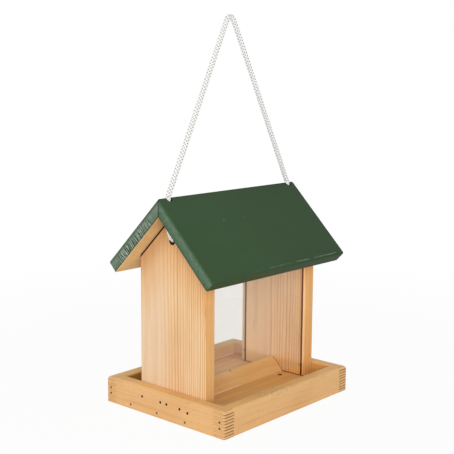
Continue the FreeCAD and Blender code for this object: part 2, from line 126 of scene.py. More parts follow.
class Signal:
    """A socket of a shader's nodes that takes part in Python expressions."""

    def __init__(self, shader: "Shader", socket: Socket) -> None:
        """Wraps a socket of a shader."""
        self.shader = shader
        self.socket = socket

    def __add__(self, other: Given) -> "Signal":
        """Adds a value."""
        return self.shader.math("ADD", self, other)

    def __radd__(self, other: Given) -> "Signal":
        """Adds to a value."""
        return self.shader.math("ADD", other, self)

    def __sub__(self, other: Given) -> "Signal":
        """Takes a value away."""
        return self.shader.math("SUBTRACT", self, other)

    def __rsub__(self, other: Given) -> "Signal":
        """Takes this away from a value."""
        return self.shader.math("SUBTRACT", other, self)

    def __mul__(self, other: Given) -> "Signal":
        """Multiplies by a value."""
        return self.shader.math("MULTIPLY", self, other)

    def __rmul__(self, other: Given) -> "Signal":
        """Multiplies a value."""
        return self.shader.math("MULTIPLY", other, self)

    def __truediv__(self, other: Given) -> "Signal":
        """Divides by a value."""
        return self.shader.math("DIVIDE", self, other)

    def __rtruediv__(self, other: Given) -> "Signal":
        """Divides a value."""
        return self.shader.math("DIVIDE", other, self)

    def __abs__(self) -> "Signal":
        """Drops the sign."""
        return self.shader.math("ABSOLUTE", self)

    def floor(self) -> "Signal":
        """Rounds down."""
        return self.shader.math("FLOOR", self)

    def fraction(self) -> "Signal":
        """Keeps what is left after rounding down."""
        return self.shader.math("FRACT", self)

    def zigzag(self) -> "Signal":
        """Swings evenly from 1 to 0 and back in each unit."""
        return abs(self.fraction() - 0.5) * 2

    def root(self) -> "Signal":
        """Takes the square root."""
        return self.shader.math("SQRT", self)

    def larger(self, other: Given) -> "Signal":
        """Keeps the larger of two values."""
        return self.shader.math("MAXIMUM", self, other)

    def rise(self, low: float, high: float) -> "Signal":
        """Climbs smoothly from 0 to 1 between two values.

        Args:
            low: The value up to which the result is 0.
            high: The value from which the result is 1.

        Returns:
            The smooth step.
        """
        made = self.shader.node(
            "ShaderNodeMapRange",
            {"interpolation_type": "SMOOTHSTEP"},
            {"Value": self, "From Min": low, "From Max": high},
        )
        return Signal(self.shader, made.outputs["Result"])

    def fall(self, low: float, high: float) -> "Signal":
        """Drops smoothly from 1 to 0 between two values."""
        return 1 - self.rise(low, high)

    def mixed(self, share: Given, tone: Paint, blend: str = "MIX") -> "Signal":
        """Mixes a share of another colour into this one."""
        return self.shader.mix(share, self, tone, blend)


@dataclass(frozen=True)
class Surface:
    """What a finish gives a shader: its colour, its roughness and its relief in millimetres."""

    colour: Signal
    roughness: Signal
    relief: Signal


class Shader:
    """The node tree of a material or of the world, and the ways to add to it."""

    def __init__(self, owner: Union[Material, bpy.types.World]) -> None:
        """Empties the tree.

        Args:
            owner: The material or world that the tree belongs to.
        """
        owner.use_nodes = True
        self.owner = owner
        self.tree = owner.node_tree
        self.tree.nodes.clear()

    def node(
        self,
        kind: str,
        settings: Optional[Mapping[str, Any]] = None,
        inputs: Optional[Mapping[Union[str, int], Any]] = None,
    ) -> Node:
        """Adds a node.

        Args:
            kind: The node's type.
            settings: Its settings, which are set first.
            inputs: Values or links for its sockets, by name or number.

        Returns:
            The new node.
        """
        made = self.tree.nodes.new(kind)
        for name, setting in (settings or {}).items():
            setattr(made, name, setting)
        for name, given in (inputs or {}).items():
            source = given.socket if isinstance(given, Signal) else given
            if isinstance(source, Socket):
                self.tree.links.new(source, made.inputs[name])
            else:
                made.inputs[name].default_value = source
        return made

    def math(self, operation: str, *terms: Given) -> Signal:
        """Works out an operation on values.

        Args:
            operation: The Math node's operation.
            terms: Its values or links.

        Returns:
            The result.
        """
        made = self.node("ShaderNodeMath", {"operation": operation}, dict(enumerate(terms)))
        return Signal(self, made.outputs[0])

    def mix(self, share: Given, first: Paint, second: Paint, blend: str = "MIX") -> Signal:
        """Mixes two colours.

        Args:
            share: How much of the second colour shows.
            first: The hex code or link of the colour at share 0.
            second: The hex code or link of the colour at share 1.
            blend: How the second colour is laid on the first.

        Returns:
            The mixed colour.
        """
        below, above = (linear(paint) if isinstance(paint, str) else paint for paint in (first, second))
        made = self.node(
            "ShaderNodeMix",
            {"data_type": "RGBA", "blend_type": blend, "clamp_factor": True},
            {0: share, 6: below, 7: above},
        )
        return Signal(self, made.outputs[2])

    def layer(self, share: Signal, first: Node, second: Node) -> Node:
        """Mixes two shaders.

        Args:
            share: How much of the second shader shows.
            first: The shader at share 0.
            second: The shader at share 1.

        Returns:
            The mixed shader.
        """
        return self.node("ShaderNodeMixShader", None, {0: share, 1: first.outputs[0], 2: second.outputs[0]})

    def vector(self, x: Given, y: Given, z: Given) -> Signal:
        """Joins three values into a vector."""
        made = self.node("ShaderNodeCombineXYZ", None, {"X": x, "Y": y, "Z": z})
        return Signal(self, made.outputs["Vector"])

    def joined(self, place: Place) -> Signal:
        """Gives a place as a vector, whether it comes as one or as three values."""
        return place if isinstance(place, Signal) else self.vector(*place)

    def split(self, vector: Union[Signal, Socket]) -> list[Signal]:
        """Splits a vector into its three values."""
        made = self.node("ShaderNodeSeparateXYZ", None, {"Vector": vector})
        return [Signal(self, socket) for socket in made.outputs]

    @cached_property
    def coordinates(self) -> Mapping[str, Socket]:
        """Gives the surface's coordinates, such as Object, Normal or UV."""
        return self.node("ShaderNodeTexCoord").outputs

    @cached_property
    def spot(self) -> Signal:
        """Gives the surface's place in the frame.

        Returns:
            The place in millimetres.
        """
        made = self.node(
            "ShaderNodeVectorMath",
            {"operation": "SCALE"},
            {"Vector": self.coordinates["Object"], "Scale": 1 / MM},
        )
        return Signal(self, made.outputs["Vector"])

    @cached_property
    def place(self) -> list[Signal]:
        """Gives the X, Y and Z of the surface's place in the frame in millimetres."""
        return self.split(self.spot)

    def facing(self, direction: Triple) -> Signal:
        """Tells how far the surface looks along a direction of the frame.

        Args:
            direction: The direction, of length 1.

        Returns:
            1 where the surface looks along it, 0 across it and -1 away from it.
        """
        made = self.node(
            "ShaderNodeVectorMath",
            {"operation": "DOT_PRODUCT"},
            {0: self.coordinates["Normal"], 1: direction},
        )
        return Signal(self, made.outputs["Value"])

    def distance(self, place: Place, spot: Triple) -> Signal:
        """Gives the distance of a place from a spot."""
        made = self.node("ShaderNodeVectorMath", {"operation": "DISTANCE"}, {0: self.joined(place), 1: spot})
        return Signal(self, made.outputs["Value"])

    def noise(self, place: Place, scale: float = 1.0, detail: float = 2.0, grit: float = 0.5) -> Signal:
        """Gives soft noise between 0 and 1.

        Args:
            place: Where it is read.
            scale: How many bumps there are in one unit.
            detail: How many finer layers it has.
            grit: How strong the finer layers are.

        Returns:
            The noise.
        """
        made = self.node(
            "ShaderNodeTexNoise",
            None,
            {"Vector": self.joined(place), "Scale": scale, "Detail": detail, "Roughness": grit},
        )
        return Signal(self, made.outputs["Fac"])

    def bump(self, relief: Signal) -> Signal:
        """Turns a relief in millimetres into a normal."""
        made = self.node("ShaderNodeBump", None, {"Height": relief, "Distance": MM, "Strength": 1.0})
        return Signal(self, made.outputs["Normal"])

    def principled(self, surface: Surface, settings: Mapping[str, Any]) -> Node:
        """Makes the main shader of a surface.

        Args:
            surface: Its colour, roughness and relief.
            settings: Values of other sockets, the same all over the surface.

        Returns:
            The shader.
        """
        inputs: dict[Union[str, int], Any] = {
            "Base Color": surface.colour,
            "Roughness": surface.roughness,
            "Normal": self.bump(surface.relief),
        }
        inputs.update(settings)
        return self.node("ShaderNodeBsdfPrincipled", None, inputs)

    def finish(self, shown: Node) -> Material:
        """Connects what the material shows and hands the material over."""
        self.node("ShaderNodeOutputMaterial", None, {"Surface": shown.outputs[0]})
        return self.owner


class Mark(ABC):
    """Something drawn over a board's clean wood."""

    @abstractmethod
    def lay(self, shader: Shader, clean: Surface) -> Surface:
        """Draws the mark over a surface.

        Args:
            shader: The shader that it is drawn in.
            clean: The surface below it.

        Returns:
            The marked surface.
        """


@dataclass(frozen=True)
class CornerJoint(Mark):
    """Dark joint lines between the fingers at the tray's corners, with knocks on the rims and painted shade
    in their inner corners.
    """

    half_length: float
    half_width: float
    board: float
    pitch: float
    line: float = 0.58
    front_share: float = 0.96
    end_share: float = 0.06
    knocked_at: float = -20.0
    line_colour: str = "#301000"
    dent_colour: str = "#a5763f"
    chip_colour: str = "#f6dcae"
    corner_shade_colour: str = "#8a6003"

    def lines(self, shader: Shader) -> Signal:
        """Draws the lines on the faces that show the fingers.

        Args:
            shader: The shader that they are drawn in.

        Returns:
            1 on a line and 0 away from it.
        """
        x, y, z = shader.place
        ragged = (shader.noise(shader.spot, 0.6) - 0.5) * 0.3
        from_line = (z / self.pitch + 0.5).zigzag() * (self.pitch / 2) + ragged
        front, end = (
            abs(shader.facing(outward)) * abs(along).rise(half - self.board - 0.3, half - self.board + 0.3)
            for outward, along, half in (((0, 1, 0), x, self.half_length), ((1, 0, 0), y, self.half_width))
        )
        shown = front * self.front_share + end * self.end_share
        return from_line.fall(self.line * 0.35, self.line) * shown

    def soil_and_shade(self, shader: Shader) -> Signal:
        """Draws painted shade in the tray's corners, on the long rims' inner faces at the left.

        Args:
            shader: The shader that it is drawn in.

        Returns:
            1 where it is thickest and 0 away from it.
        """
        x, y, z = shader.place
        inner = (shader.facing((0, 1, 0)) * y / (self.board - self.half_width)).rise(0.4, 0.9)
        corner = x.fall(2.6 * self.board - self.half_length, 3.4 * self.board - self.half_length)
        return inner * corner * (1 - z.rise(24.0, 27.0) * 0.6)

    def lay(self, shader: Shader, clean: Surface) -> Surface:
        """Draws the knocks with their pale chips, the painted shade in the corners and the joint lines.

        Args:
            shader: The shader that they are drawn in.
            clean: The surface below them.

        Returns:
            The marked surface.
        """
        x, _, z = shader.place
        knocked = abs(x - self.knocked_at).fall(9.0, 22.0) * z.rise(19.0, 24.0)
        rough = shader.noise(shader.spot, 0.5, 3.0)
        dents = rough.rise(0.58, 0.64) * knocked
        chips = rough.fall(0.38, 0.44) * knocked
        colour = clean.colour.mixed(dents * 0.6, self.dent_colour)
        colour = colour.mixed(chips * 0.45, self.chip_colour)
        # painted shade: the long rims' inner faces darkened in the left corners
        colour = colour.mixed(self.soil_and_shade(shader) * 0.9, self.corner_shade_colour)
        colour = colour.mixed(self.lines(shader), self.line_colour)
        return replace(clean, colour=colour, relief=clean.relief - dents * 0.25)


@dataclass(frozen=True)
class NailBruises(Mark):
    """Dark crushed wood round the nails sunk into an end rim, each with its place and strength."""

    spots: tuple[Triple, ...]
    radius: float = 1.4
    colour: str = "#160600"

    def lay(self, shader: Shader, clean: Surface) -> Surface:
        """Darkens the wood where the nails go in.

        Args:
            shader: The shader that they are drawn in.
            clean: The surface below them.

        Returns:
            The marked surface.
        """
        _, y, z = shader.place
        spot = shader.vector(0.0, y, z)
        colour = clean.colour
        for across, up, strength in self.spots:
            reach = self.radius * (0.7 + 0.3 * strength)
            away = shader.distance(spot, (0.0, across, up))
            colour = colour.mixed(away.fall(reach * 0.85, reach * 1.1) * strength, self.colour)
        return replace(clean, colour=colour)


@dataclass(frozen=True)
class SeamShade(Mark):
    """Painted shade along the seams at the walls that a board meets, and dark holes in it painted as shade,
    in plan.
    """

    holes: tuple[Pair, ...]
    radius: float
    end: float = WALL_INSIDE
    wall_half: float = 45.0
    colour: str = "#3a1a04"

    def lay(self, shader: Shader, clean: Surface) -> Surface:
        """Draws the painted shade along the seams and in the holes.

        Args:
            shader: The shader that they are drawn in.
            clean: The surface below them.

        Returns:
            The marked surface.
        """
        x, y, _ = shader.place
        beyond = abs(y).rise(self.wall_half - 1.0, self.wall_half + 1.0)
        # painted shade along the wall seams, fainter beyond the walls' width
        marks = abs(x).rise(self.end - 1.7, self.end - 0.5) * (0.6 - 0.42 * beyond)
        # painted shade inside each hole
        for hole in self.holes:
            away = shader.distance((x, y, 0.0), (*hole, 0.0))
            marks = marks.larger(away.fall(self.radius * 0.9, self.radius * 1.25))
        return replace(clean, colour=clean.colour.mixed(marks, self.colour))


@dataclass(frozen=True)
class RoofSeat(Mark):
    """Painted warm light on a wall's outer face below the roof, dimmer higher up, and painted shade as a dark
    line at the roof.
    """

    peak: float
    warm: str = "#fbefdd"
    dim: str = "#b97a3a"
    gap_shade: str = "#150803"

    def lay(self, shader: Shader, clean: Surface) -> Surface:
        """Paints the warm light and shade on the wall's upper part and the dark line of shade under the roof.

        Args:
            shader: The shader that they are drawn in.
            clean: The surface below them.

        Returns:
            The marked surface.
        """
        x, y, z = shader.place
        below = (self.peak - z - abs(y)) * SLANT
        outer = (shader.facing((1, 0, 0)) * x).rise(30.0, 60.0)
        upright = abs(shader.facing((0, 0, 1))).fall(0.3, 0.6)
        colour = clean.colour.mixed(below.fall(22.0, 55.0) * outer, self.warm, "MULTIPLY")
        colour = colour.mixed(below.fall(2.0, 26.0) * (0.1 + 0.38 * outer), self.dim)
        # painted shade: a dark line along the top edges, under the roof
        return replace(clean, colour=colour.mixed(below.fall(1.3, 2.1) * upright, self.gap_shade))


@dataclass(frozen=True)
class PaneGrooveShade(Mark):
    """Painted shade on a wall's inner face: dark in the grooves, a darker, warmer foot below the panes and a
    dark line at its base.
    """

    middle: float
    base: float
    foot: float
    inside: float = WALL_INSIDE
    depth: float = 5.0
    half_width: float = 1.5
    groove_shade_colour: str = "#963a00"
    foot_shade_colour: str = "#f4ebc7"
    base_shade_colour: str = "#5a2c0c"

    def lay(self, shader: Shader, clean: Surface) -> Surface:
        """Paints the shade on the foot, the line at its base and the grooves.

        Args:
            shader: The shader that they are drawn in.
            clean: The surface below them.

        Returns:
            The marked surface.
        """
        x, y, z = shader.place
        bottom = self.inside + self.depth
        sunk = abs(x).rise(self.inside + 0.1, self.inside + 0.6) * abs(x).fall(bottom - 0.2, bottom + 0.2)
        sunk = sunk * abs(abs(y) - self.middle).fall(self.half_width - 0.14, self.half_width)
        inner = (shader.facing((1, 0, 0)) * x / -self.inside).rise(0.4, 0.9)
        foot = z.fall(self.foot - 4.0, self.foot + 4.0) * inner
        # painted shade: the inner face darker and warmer below the panes
        colour = clean.colour.mixed(foot, self.foot_shade_colour, "MULTIPLY")
        # painted shade: a dark line where the wall meets the floor
        colour = colour.mixed(z.fall(self.base + 0.4, self.base + 1.4) * inner * 0.7, self.base_shade_colour)
        # painted shade inside the grooves
        return replace(clean, colour=colour.mixed(sunk * 0.95, self.groove_shade_colour))


@dataclass(frozen=True)
class CordBoreShade(Mark):
    """Painted shade inside the hole that the cord takes through a wall."""

    height: float = CORD_HOLE
    radius: float = 4.1
    soft: float = 0.5
    colour: str = "#2a1207"

    def lay(self, shader: Shader, clean: Surface) -> Surface:
        """Paints shade on the hole's inside.

        Args:
            shader: The shader that it is drawn in.
            clean: The surface below it.

        Returns:
            The marked surface.
        """
        _, y, z = shader.place
        away = shader.distance((0.0, y, z), (0.0, 0.0, self.height))
        hole = away.fall(self.radius, self.radius + self.soft)
        inside = abs(shader.facing((1, 0, 0))).fall(0.4, 0.9)
        # painted shade on the hole's inside
        return replace(clean, colour=clean.colour.mixed(hole * inside * 0.9, self.colour))


@dataclass(frozen=True)
class Timber:
    """Planed softwood, coloured as a solid log with rings round its heart."""

    name: str
    along: Axis
    heart: Pair
    ring: float
    pale: str
    late: str
    end: str
    contrast: float = 0.5
    crisp: float = 0.45
    fade: float = 0.0
    end_share: float = 0.5
    wander: float = 8.0
    seed: float = 0.0
    flecks: float = 0.3
    patchy: float = 0.0
    flat: Optional[str] = None
    faces: tuple[tuple[Triple, str], ...] = ()
    marks: tuple[Mark, ...] = ()

    def rings(self, shader: Shader) -> tuple[Signal, Signal, Signal]:
        """Finds the growth rings where the surface cuts them.

        Args:
            shader: The shader that they are drawn in.

        Returns:
            How dark each ring's late wood is, how steeply the face cuts the rings, and the fine fibres.
        """
        along, first, second = self.along.order(shader.place)
        shifted = along + self.seed
        slow = shader.vector(shifted * 0.005, first * 0.017 + self.seed, second * 0.017)
        drift = shader.node("ShaderNodeTexNoise", None, {"Vector": slow, "Scale": 1.0, "Detail": 1.5})
        bend = shader.split(drift.outputs["Color"])
        across = first - self.heart[0] + (bend[0] - 0.5) * self.wander
        over = second - self.heart[1] + (bend[1] - 0.5) * self.wander
        ripple = shader.noise((shifted * 0.03, first * 0.25, second * 0.25)) - 0.5
        radius = (across * across + over * over).root() + ripple * 1.4
        uneven = shader.noise((radius * 0.07, self.seed, 0.0), detail=1.0)
        phase = radius / self.ring + uneven * 2.2
        part = phase.fraction()
        varied = shader.node("ShaderNodeTexWhiteNoise", {"noise_dimensions": "1D"}, {"W": phase.floor()})
        late = part.rise(self.crisp, 0.88) * part.fall(0.92, 1.0)
        late = late * (Signal(shader, varied.outputs["Value"]) * 0.6 + 0.4)
        steep = (abs(over) / radius).rise(0.28, 0.68)
        late = late * (1 - self.fade + self.fade * steep)
        if self.patchy:
            zone = shader.noise((shifted * 0.016, first * 0.05, second * 0.05), detail=1.0)
            late = late * (1 - self.patchy + 2 * self.patchy * zone.rise(0.42, 0.62))
        fibre = shader.noise((shifted * 0.09, first * 3.1, second * 3.1), detail=3.0, grit=0.62)
        return late, steep, fibre

    def surface(self, shader: Shader) -> Surface:
        """Works out the wood's colour, roughness and relief, with its marks.

        Args:
            shader: The shader that they are drawn in.

        Returns:
            The wood's surface.
        """
        along, first, second = self.along.order(shader.place)
        late, steep, fibre = self.rings(shader)
        streak = shader.noise(((along + self.seed) * 0.012, first * 0.55, second * 0.55), detail=3.0)
        cloud = shader.noise((along * 0.014 + self.seed, first * 0.03, second * 0.03))
        pores = shader.noise((along * 0.13 + self.seed, first * 1.5, second * 1.5), detail=1.0)
        pores = pores.rise(0.62, 0.74)
        cut_end = abs(shader.facing(self.along.direction())).rise(0.55, 0.9)
        ground = self.pale if self.flat is None else shader.mix(steep, self.flat, self.pale)
        colour = shader.mix(late * self.contrast, ground, self.late)
        # each face's colour by the way it looks: on the rims it is painted light on the tops and painted
        # light and shade on the inner faces; on the walls it is the edges' own colour
        for direction, tone in self.faces:
            colour = colour.mixed(shader.facing(direction).rise(0.6, 0.95) * 0.8, tone)
        colour = colour.mixed(cloud.rise(0.35, 0.75) * 0.28 * steep, self.late)
        colour = colour.mixed(cut_end * (self.end_share + late * 0.4 * self.contrast), self.end)
        shade = streak * 0.16 + fibre * 0.1 + 0.87
        colour = colour.mixed(1.0, shader.vector(shade, shade, shade), "MULTIPLY")
        colour = colour.mixed(pores * self.flecks, self.end)
        roughness = 0.52 + fibre * 0.16 - late * 0.06 + cut_end * 0.12
        surface = Surface(colour, roughness, late * 0.05 + fibre * 0.09 - pores * 0.05)
        for mark in self.marks:
            surface = mark.lay(shader, surface)
        return surface

    def material(self) -> Material:
        """Makes the bare wood's material."""
        shader = Shader(bpy.data.materials.new(self.name))
        return shader.finish(shader.principled(self.surface(shader), {"Specular IOR Level": 0.35}))


@dataclass(frozen=True)
class RoofPaint:
    """Satin paint on a roof board's top, eave and ends, with the wood left bare below."""

    name: str
    timber: Timber
    under: Triple
    half_length: float
    ridge: float
    thickness: float
    slope: float
    colour: str
    thin: str
    low: str
    ridged: float
    tooth: float = 2.6
    lap: float = 0.25
    bores: Pair = (-91.5, 94.5)
    nibs: tuple[tuple[Triple, float], ...] = (((-38.7, -25.2, 196.4), 0.42), ((-7.1, -25.2, 196.4), 0.25))
    torn_colour: str = "#b7c2b2"
    split_colour: str = "#0f2417"
    mottle_colour: str = "#2f4a33"
    lower_edge_colour: str = "#15281b"
    mitre_shade_colour: str = "#122418"
    far_shade_colour: str = "#213a1a"
    scuff_colour: str = "#9cab98"
    edge_shade_colour: str = "#0f1f10"
    nib_colour: str = "#9fb09b"
    bore_shade_colour: str = "#0d180d"
    soffit_shade_colour: str = "#b06a30"
    arris_highlight_colour: str = "#ffe6bd"

    def down(self, shader: Shader) -> Signal:
        """Gives the distance down the slope from the ridge."""
        _, y, z = shader.place
        return (self.ridge - z + abs(y)) * SLANT

    def upper_side(self, shader: Shader, brush: Signal, grit: Signal, edge_shade: Signal) -> Signal:
        """Colours the upper side, scuffed along the eave, with painted shade growing towards the right end
        and darker at the ridge and the right end.

        Args:
            shader: The shader that it is drawn in.
            brush: The brush marks.
            grit: The grit in the paint.
            edge_shade: Where painted shade darkens the ridge and the right end.

        Returns:
            The upper side's colour.
        """
        x, y, z = shader.place
        down = self.down(shader)
        cloud = shader.noise((x * 0.012, y * 0.03, z * 0.03))
        eave = down.rise(self.slope - 3.4, self.slope - 2.8) * down.fall(self.slope - 2.4, self.slope - 1.6)
        scuffs = shader.noise((x * 0.07, down * 0.6, 5.0)).rise(0.48, 0.56) * eave
        colour = shader.mix(cloud.rise(0.35, 0.75) * 0.1, self.colour, self.low)
        colour = colour.mixed(brush * 0.06 + grit * 0.3, self.thin)
        # painted shade: the upper side darker towards the right end
        colour = colour.mixed(x.rise(-60, 90) * 0.5, self.far_shade_colour)
        colour = colour.mixed(scuffs * x.rise(-80, 60) * 0.42, self.scuff_colour)
        # painted shade along the ridge and the right end
        return colour.mixed(edge_shade * 0.75, self.edge_shade_colour)

    def sawn_end(self, shader: Shader, top: Signal) -> tuple[Signal, Signal]:
        """Colours the sawn ends, where the paint lies thin over the open grain.

        Args:
            shader: The shader that they are drawn in.
            top: The colour of the board's upper side.

        Returns:
            The colour with the ends, and how deep the open grain is.
        """
        _, y, z = shader.place
        end = abs(shader.facing((1, 0, 0))).rise(0.3, 0.95)
        depth = (self.ridge - z - abs(y)) * (SLANT / self.thickness)
        down = self.down(shader)
        rough = shader.noise(shader.spot, 0.5, 3.0) - 0.5
        level = depth + rough * 0.25
        colour = shader.mix(level.rise(0.3, 1.0), self.thin, self.low)
        colour = colour.mixed(level.fall(0.02, 0.4), top)
        uneven = shader.noise((down * 0.3, depth * 1.1, 7.0))
        tooth = (down / self.tooth + uneven * 2.4).zigzag()
        torn = shader.noise((down * 0.05, depth * 0.7, 3.0)).rise(0.3, 0.5) * level.rise(0.1, 0.5)
        torn = torn * self.ridged * down.rise(16, 34) * down.fall(self.slope - 22, self.slope - 8)
        split = tooth.rise(0.5, 0.8) * torn
        colour = colour.mixed(tooth.fall(0.15, 0.5) * torn * 0.65, self.torn_colour)
        colour = colour.mixed(split * 0.85, self.split_colour)
        mottle = shader.noise(shader.spot, 0.22).rise(0.4, 0.7)
        colour = colour.mixed(mottle * (0.4 - 0.2 * self.ridged), self.mottle_colour)
        colour = colour.mixed(depth.rise(0.9, 0.96) * 0.6, self.lower_edge_colour)
        # painted shade: a dark ragged line along the mitre
        mitre = (abs(y) + rough * 3.5).fall(0.3, 1.1)
        colour = colour.mixed(mitre * 0.85, self.mitre_shade_colour)
        return top.mixed(end, colour), end * (split + mitre * 0.6)

    def soffit(self, shader: Shader, wood: Signal) -> Signal:
        """Colours the bare underside, warmer in the painted shade of the ridge, with a painted highlight
        along its sharp ends.

        Args:
            shader: The shader that it is drawn in.
            wood: The bare wood's colour.

        Returns:
            The underside's colour.
        """
        # painted highlight: the bare wood paler near the ends
        sharp = abs(shader.place[0]).rise(self.half_length - 2.2, self.half_length - 0.8)
        # painted shade: warmer and darker towards the ridge
        colour = wood.mixed(self.down(shader).fall(14, 45) * 0.45, self.soffit_shade_colour)
        return colour.mixed(sharp * 0.6, self.arris_highlight_colour)

    def material(self) -> Material:
        """Makes the material of one roof board.

        Returns:
            The painted material with its bare underside.
        """
        shader = Shader(bpy.data.materials.new(self.name))
        x, y, z = shader.place
        wood = self.timber.surface(shader)
        late, _, _ = self.timber.rings(shader)
        brush = shader.noise((x * 0.03, y * 0.9, z * 0.9), detail=3.0)
        grit = shader.noise(shader.spot, 0.55, 0.0).rise(0.83, 0.87)
        # painted shade along the ridge and at the right end, where the paint is also rougher
        edge_shade = self.down(shader).fall(0.8, 2.6).larger(x.rise(self.half_length - 2.6, self.half_length - 1.0))
        colour, grain = self.sawn_end(shader, self.upper_side(shader, brush, grit, edge_shade))
        for nib, share in self.nibs:
            colour = colour.mixed(shader.distance(shader.spot, nib).fall(0.4, 1.0) * share, self.nib_colour)
        # painted shade inside the cord's holes through the roof
        for bore in self.bores:
            away = shader.distance((x, y, 0.0), (bore, 0.0, 0.0))
            colour = colour.mixed(away.fall(4.0, 4.8) * 0.85, self.bore_shade_colour)
        roughness = 0.42 + brush * 0.12 + grain * 0.2 + edge_shade * 0.4
        relief = brush * 0.02 + late * 0.015 - grain * 0.5 + grit * 0.05
        ragged = shader.noise(shader.spot, 0.25) * 2 * self.lap
        bare = (abs(x) + ragged).fall(self.half_length - 0.4, self.half_length + 0.1)
        bare = shader.facing(self.under).rise(0.9, 0.97) * bare
        surface = Surface(
            colour.mixed(bare, self.soffit(shader, wood.colour)),
            roughness + (wood.roughness - roughness) * bare,
            relief + (wood.relief - relief) * bare,
        )
        return shader.finish(shader.principled(surface, {"Specular IOR Level": 0.14}))


@dataclass(frozen=True)
class ClearSheet:
    """Clear acrylic sheet with a faint haze, and sawn edges that catch the light."""

    name: str
    tint: str
    haze: str
    reach: float = WALL_INSIDE
    mirror: float = 0.039

    def material(self) -> Material:
        """Makes the sheet's material, which shows no gloss or haze inside the grooves.

        Returns:
            The see-through material.
        """
        shader = Shader(bpy.data.materials.new(self.name))
        smear = shader.noise(shader.spot, 0.02, 3.0).rise(0.3, 0.8)
        dust = shader.noise(shader.spot, 1.3).rise(0.62, 0.8)
        sawn = abs(shader.facing((0, 1, 0))).fall(0.3, 0.9)
        weight = shader.node("ShaderNodeLayerWeight", None, {"Blend": 0.5})
        slant = Signal(shader, weight.outputs["Facing"])
        square = slant * slant
        shown = abs(shader.place[0]).fall(self.reach - 0.1, self.reach + 0.3)
        gloss = (self.mirror + (1 - self.mirror) * square * square * slant) * shown
        veil = (0.015 + smear * 0.03 + dust * 0.02 + sawn * 0.07) * shown
        clear = shader.node("ShaderNodeBsdfTransparent", None, {"Color": linear(self.tint)})
        shine = shader.node("ShaderNodeBsdfGlossy", None, {"Color": linear("#ffffff"), "Roughness": 0.04})
        film = shader.node("ShaderNodeBsdfPrincipled", None, {
            "Base Color": linear(self.haze),
            "Roughness": 0.35 + dust * 0.2,
            "Normal": shader.bump(dust * 0.02 + sawn * shader.noise(shader.spot, 2.0) * 0.1),
        })
        return shader.finish(shader.layer(veil, shader.layer(gloss, clear, shine), film))


@dataclass(frozen=True)
class NailSteel:
    """Drawn steel that has dulled and spotted."""

    name: str
    bright: str
    dull: str
    metal: float

    def material(self) -> Material:
        """Makes the nails' material.

        Returns:
            The metal material.
        """
        shader = Shader(bpy.data.materials.new(self.name))
        patch = shader.noise(shader.spot, 2.5, 3.0).rise(0.35, 0.7)
        scratch = shader.noise(shader.spot, 14.0)
        surface = Surface(
            shader.mix(patch, self.bright, self.dull),
            0.34 + patch * 0.3 + scratch * 0.1,
            scratch * 0.01,
        )
        return shader.finish(shader.principled(surface, {"Metallic": self.metal, "Specular IOR Level": 0.06}))


DARK_STEEL = NailSteel("dark_steel", bright="#0d0805", dull="#060302", metal=0.0)
BRIGHT_STEEL = NailSteel("bright_steel", bright="#b9b6b0", dull="#6c675f", metal=0.8)
PIN_STEEL = NailSteel("pin_steel", bright="#8f6a45", dull="#55381f", metal=0.3)


@dataclass(frozen=True)
class CordYarn:
    """Soft white braiding yarn of many fine fibres."""

    name: str
    light: str
    shade: str
    gap_shade: str

    def material(self) -> Material:
        """Makes the yarn's material from the strands' own coordinates.

        Returns:
            The cord's material.
        """
        shader = Shader(bpy.data.materials.new(self.name))
        run, turn, _ = shader.split(shader.coordinates["UV"])
        fibre = shader.noise((run * 0.8, turn * 16 + run * 1.6, 0.0))
        ply = (run * 2.2 + turn * 5).zigzag()
        # painted shade: the strands' sides darkened between the strands
        gap_shade = (turn * 2).zigzag().rise(0.35, 0.95)
        soil_and_shade = shader.noise((run * 0.05, turn, 3.0)).rise(0.45, 0.8)
        colour = shader.mix(ply * 0.08 + soil_and_shade * 0.08, self.light, self.shade)
        colour = colour.mixed((1 - fibre) * 0.15, self.shade).mixed(gap_shade * 0.75, self.gap_shade)
        surface = Surface(colour, 0.78 + fibre * 0.14, ply * 0.06 + fibre * 0.06)
        return shader.finish(shader.principled(surface, {"Specular IOR Level": 0.2, "Sheen Weight": 0.25}))


def dress(node: str, material: Material) -> None:
    """Gives a CAD node a better material.

    Args:
        node: The node's name.
        material: Its new material.
    """
    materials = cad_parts[node].data.materials
    materials.clear()
    materials.append(material)
    LOG.info("dressed %s in %s", node, material.name)


def new_piece(name: str, shape: Shape, material: Material) -> Piece:
    """Turns a finished shape into a smooth object of the scene.

    Args:
        name: The object's name.
        shape: Its shape, which is freed.
        material: Its material.

    Returns:
        The new object.
    """
    bmesh.ops.recalc_face_normals(shape, faces=shape.faces)
    mesh = bpy.data.meshes.new(name)
    shape.to_mesh(mesh)
    shape.free()
    mesh.polygons.foreach_set("use_smooth", [True] * len(mesh.polygons))
    mesh.materials.append(material)
    piece = bpy.data.objects.new(name, mesh)
    bpy.context.scene.collection.objects.link(piece)
    return piece


def hoop(shape: Shape, centre: Vector, first: Vector, second: Vector, sides: int) -> list[Corner]:
    """Adds the corners of one ring of a tube.

    Args:
        shape: The shape that they go into.
        centre: The ring's middle.
        first: The way from the middle to its first corner.
        second: The way from the middle to a quarter turn further on.
        sides: How many corners it has.

    Returns:
        The corners in order.
    """
    angles = [2 * math.pi * step / sides for step in range(sides)]
    return [shape.verts.new(centre + first * math.cos(angle) + second * math.sin(angle)) for angle in angles]


